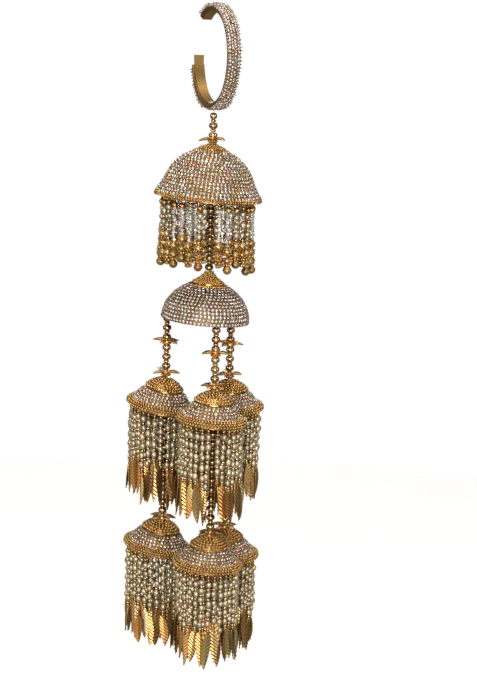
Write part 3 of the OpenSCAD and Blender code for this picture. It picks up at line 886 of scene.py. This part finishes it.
# Large fringe: strings of pearls and strings of crystals by turns, each with two grained balls near its end.
# Two in three end in a ball of two halves and the third in a bunch of small beads. Behind them hangs a row of
# shorter strings, with bunches at their ends. On the near side they part a little and the stem shows.
largeFringe = {"strings": 30, "rim": 32, "crystals": (2, 3, 7, 8, 9), "open": 21, "bead": 1.2,
               "crystal": 1.65, "crystalPitch": 2.5, "drop": 2.15, "ball": 2.85, "ballGrain": 0.62,
               "small": 2.3, "smallGrain": 0.6}
# Depths are from the top of a string, and those with up in their name are from its end
frontRow = {"radius": 29.7, "length": 37, "longer": 3, "uneven": 1.5, "dropAt": 4.0, "afterDrop": 6.4,
            "beadAt": 2.8, "afterBead": 4.2, "up": 15.4, "ballsUp": (12.0, 6.2), "bunchUp": 3.3,
            "threadUp": 4}
backRow = {"radius": 27.2, "length": 36, "uneven": 2, "aside": {20: -0.05, 21: 0.3}, "beadAt": 2.2,
           "crystalsAt": 4.4, "crystalsUp": 13.6, "crystalRoom": 15, "pearlsAt": 3.4, "pearlsUp": 13.0,
           "ballsUp": (10.4, 5.6), "bunchUp": 2.2}


# A ball covered with grains, as one form
def grainedBall(radius, grain, count, sides):
    core = ballForm(radius - 0.7 * grain, 10, 7)
    points, loops, sizes = [core["points"]], [core["loops"]], [core["sizes"]]
    ball = ballForm(grain, sides, sides - 1)
    for k in range(count):
        z = 1 - (2 * k + 1) / count
        t = k * math.pi * (3 - math.sqrt(5))
        spot = np.array([math.sqrt(1 - z * z) * math.cos(t), math.sqrt(1 - z * z) * math.sin(t), z])
        loops.append(ball["loops"] + sum(len(p) for p in points))
        points.append(ball["points"] + spot * (radius - 0.6 * grain))
        sizes.append(ball["sizes"])
    return {"points": np.concatenate(points), "loops": np.concatenate(loops), "sizes": np.concatenate(sizes)}


# Small beads wired in threes round a string, each three turned against the one above
bunchSizes = {"reach": 1.4, "pitch": 1.9}


def bunch(at, depth, threes):
    spots = []
    for k in range(3 * threes):
        row = k // 3
        t = 2 * math.pi * k / 3 + math.pi / 3 * row + dice.uniform(-0.2, 0.2)
        aside = (bunchSizes["reach"] * math.cos(t), bunchSizes["reach"] * math.sin(t), 0)
        spots.append(hang(np.add(at(depth + bunchSizes["pitch"] * row, 0.15), aside)))
    return spots


def crystalRun(at, first, reach, count):
    return [hang(at(first + reach * j / (count - 1), 0.3), dice.uniform(0, 6), dice.normal(0, 0.3))
            for j in range(count)]


def ballPair(at, length, heights):
    return [hang(at(length - up, 0.3), dice.uniform(0, 6), dice.uniform(0, 3)) for up in heights]


# A ball of two halves, with a raised seam and a neck for its loop
def halvedBall(radius):
    seam = radius + 0.12
    return turned([(0, radius + 0.7), (0.5, radius + 0.6), (0.55, radius), (1.6, 2.35), (2.4, 1.5),
                   (2.8, 0.4), (seam, 0.22), (seam, -0.22), (2.8, -0.4), (2.45, -1.45), (1.6, -2.3),
                   (0.7, -2.72), (0.25, -2.6), (0, -2.55)], 14)


def makeLargeFringe():
    f, front, back = largeFringe, frontRow, backRow
    pearls, pearlsBehind, crystals, beads, spacers, grained, small = ([] for _ in range(7))
    ends, loops, threads, drops = ([] for _ in range(4))
    for i in range(f["strings"]):
        around = 2 * math.pi * i / f["strings"]
        length = front["length"] + front["longer"] * (i % 3) + front["uneven"] * vary(i, 1)
        sway, at = stringRun(stringTop(largePlace, around, front["radius"], f["rim"]))
        if i != f["open"]:
            loops.append(hang(at(loopDepth), around + dice.uniform(-0.5, 0.5)))
            bunched = i % 3 == 1
            if bunched:
                beads.append(hang(at(front["beadAt"])))
            else:
                drops.append(hang(at(front["dropAt"])))
            start, end = front["afterBead" if bunched else "afterDrop"], length - front["up"]
            if i % 10 in f["crystals"]:
                crystals += crystalRun(at, start, end - start, round((end - start) / f["crystalPitch"]) + 1)
            else:
                pearlRun(at, start, end + 0.8, pearls, spacers)
            grained += ballPair(at, length, front["ballsUp"])
            beads += bunch(at, length - front["bunchUp"], 3 if bunched else 1)
            ends += [] if bunched else [hang(at(length), dice.uniform(0, 6))]
            threads.append(hang(at(0), 0, -sway[1], sway[0], (1, 1, length - front["threadUp"])))
        length = back["length"] + back["uneven"] * vary(i, 5)
        behind = 2 * math.pi * (i + 0.5 + back["aside"].get(i, 0)) / f["strings"]
        sway, at = stringRun(stringTop(largePlace, behind, back["radius"], f["rim"]))
        loops.append(hang(at(loopDepth), around + dice.uniform(-0.5, 0.5)))
        beads.append(hang(at(back["beadAt"])))
        if i % 10 in f["crystals"]:
            crystals += crystalRun(at, back["crystalsAt"], length - back["crystalsUp"] - back["crystalsAt"],
                                   round((length - back["crystalRoom"]) / f["crystalPitch"]))
        else:
            pearlRun(at, back["pearlsAt"], length - back["pearlsUp"], pearlsBehind, spacers)
        small += ballPair(at, length, back["ballsUp"])
        beads += bunch(at, length - back["bunchUp"], 3)
        threads.append(hang(at(0), 0, -sway[1], sway[0], (1, 1, length)))
    crystal = turned([(0.35, 1.25), (1.0, 0.85), (f["crystal"], 0), (1.0, -0.85), (0.35, -1.25)], 8)
    makePiece("large_strings", [
        (rice[0], pearls, pearl, True), (rice[1], pearlsBehind, pearl, True),
        (crystal, crystals, crystalGlass, False), (ballForm(f["bead"], 8, 5), beads, gilt, True),
        (spacer, spacers, stringMetal, True),
        (ballForm(f["drop"], 12, 8), drops, gilt, True),
        (grainedBall(f["ball"], f["ballGrain"], 20, 5), grained, gilt, True),
        (grainedBall(f["small"], f["smallGrain"], 14, 4), small, gilt, True),
        (halvedBall(f["ball"]), ends, gilt, True),
        (tieLoop, loops, gold, True), (threadForm, threads, thread, True),
        headRing(largePlace, front["radius"], f["rim"])], "drop", "pearl_strings", "large_fringe")


makeLargeFringe()
print("large fringe made")

# The solids that stay get the finish that the real piece has; the bells' plating is darkened as painted shade
for name, node in nodes.items():
    material = (brushedGold if name == "ring" else paleMetal if "beads" in name
                else shadedCupSilver if name == "second_bell" else shadedCupBrass if "bell" in name else gold)
    node.data.materials.clear()
    node.data.materials.append(material)
print("solids finished")

# Pale floor, fading out before its edge
floor = {"height": -500, "radius": 900, "clear": 560, "paintedShadeInMetal": "#938C80"}


def addFloor():
    points = [(0, 0, 0)] + circle(floor["radius"], 0, 96)
    faces = [(0, 1 + i, 1 + (i + 1) % 96) for i in range(96)]
    mesh = bpy.data.meshes.new("paleFloor")
    mesh.from_pydata([(x * mm, y * mm, floor["height"] * mm) for x, y, _ in points], [], faces)
    # painted board: a fine even grain of about 2 mm that hardly shows
    material, tree = blank("paintedBoard")
    where = put(tree, "ShaderNodeTexCoord").outputs["Object"]
    grain = put(tree, "ShaderNodeTexNoise", {"Vector": where, "Scale": 1 / (2 * mm), "Detail": 2.0})
    tone = put(tree, "ShaderNodeValToRGB", {"Fac": grain.outputs["Fac"]},
               stops=[(0.3, "#F4F3F1"), (0.7, "#FAF9F7")])
    ray = put(tree, "ShaderNodeLightPath")
    # painted shade in reflections: in metal it shows darker than to the eye, as a floor under a small piece
    # does
    seen = put(tree, "ShaderNodeMix", {0: ray.outputs["Is Glossy Ray"], 6: tone.outputs["Color"],
                                       7: linear(floor["paintedShadeInMetal"])}, data_type="RGBA")
    board = put(tree, "ShaderNodeBsdfPrincipled", {"Base Color": seen.outputs[2], "Roughness": 0.9})
    flat = put(tree, "ShaderNodeVectorMath", {0: where, 1: (1, 1, 0)}, operation="MULTIPLY")
    reach = put(tree, "ShaderNodeVectorMath", {0: flat.outputs[0]}, operation="LENGTH")
    fade = put(tree, "ShaderNodeMapRange", {"Value": reach.outputs["Value"], "From Min": floor["clear"] * mm,
                                            "From Max": 0.97 * floor["radius"] * mm})
    clear = put(tree, "ShaderNodeBsdfTransparent")
    mix = put(tree, "ShaderNodeMixShader", {0: fade.outputs[0], 1: board.outputs[0], 2: clear.outputs[0]})
    put(tree, "ShaderNodeOutputMaterial", {"Surface": mix.outputs[0]})
    mesh.materials.append(material)
    board = bpy.data.objects.new("paleFloor", mesh)
    bpy.context.scene.collection.objects.link(board)


addFloor()

# Studio: a pale room that the eye sees, darker in the metal, a flash by the camera and soft boxes round it
studio = {"seen": 1.0, "room": ["#3A352E", "#70695F", "#989288", "#E8E4DC"], "roomStrength": 1.05}
lamps = [        # name, width, power, azimuth from the camera, distance, height
    ("flash", 0.66, 11.0, 4, 1.05, 0.0),
    ("overhead", 0.60, 5.5, 0, 0.15, 0.75),
    ("lowBox", 0.60, 5.0, -8, 1.0, -0.45),
    ("leftBox", 0.35, 2.2, -65, 0.95, 0.10),
    ("rightBox", 0.35, 2.2, 65, 0.95, 0.05),
    ("backBox", 0.35, 2.5, 180, 0.95, 0.15),
]


def addStudio():
    world = bpy.data.worlds.new("studioRoom")
    bpy.context.scene.world = world
    world.use_nodes = True
    tree = world.node_tree
    tree.nodes.clear()
    way = put(tree, "ShaderNodeTexCoord").outputs["Generated"]
    axis = put(tree, "ShaderNodeSeparateXYZ", {"Vector": way})
    height = put(tree, "ShaderNodeMapRange", {"Value": axis.outputs["Z"], "From Min": -1.0, "From Max": 1.0})
    tone = put(tree, "ShaderNodeValToRGB", {"Fac": height.outputs[0]},
               stops=list(zip((0.0, 0.5, 0.75, 1.0), studio["room"])))
    room = put(tree, "ShaderNodeBackground", {
        "Color": tone.outputs["Color"], "Strength": studio["roomStrength"]})
    seen = put(tree, "ShaderNodeBackground", {"Color": (studio["seen"],) * 3 + (1,), "Strength": 1.0})
    ray = put(tree, "ShaderNodeLightPath")
    mix = put(tree, "ShaderNodeMixShader", {
        0: ray.outputs["Is Camera Ray"], 1: room.outputs[0], 2: seen.outputs[0]})
    put(tree, "ShaderNodeOutputWorld", {"Surface": mix.outputs[0]})
    target = np.array([0, 0, -0.21])
    for name, size, power, azimuth, distance, height in lamps:
        t = math.radians(view["azimuth"] + azimuth)
        place = np.array([-distance * math.sin(t), -distance * math.cos(t), height])
        data = bpy.data.lights.new(name, "AREA")
        data.shape, data.size, data.energy = "DISK", size, power
        lamp = bpy.data.objects.new(name, data)
        lamp.rotation_mode = "QUATERNION"
        lamp.rotation_quaternion = Vector(place - target).to_track_quat("Z", "Y")
        lamp.location = place
        lamp.visible_camera = False
        bpy.context.scene.collection.objects.link(lamp)
    bpy.context.scene.view_settings.view_transform = "Standard"
    bpy.context.scene.view_settings.look = "None"


addStudio()
print("studio lit")
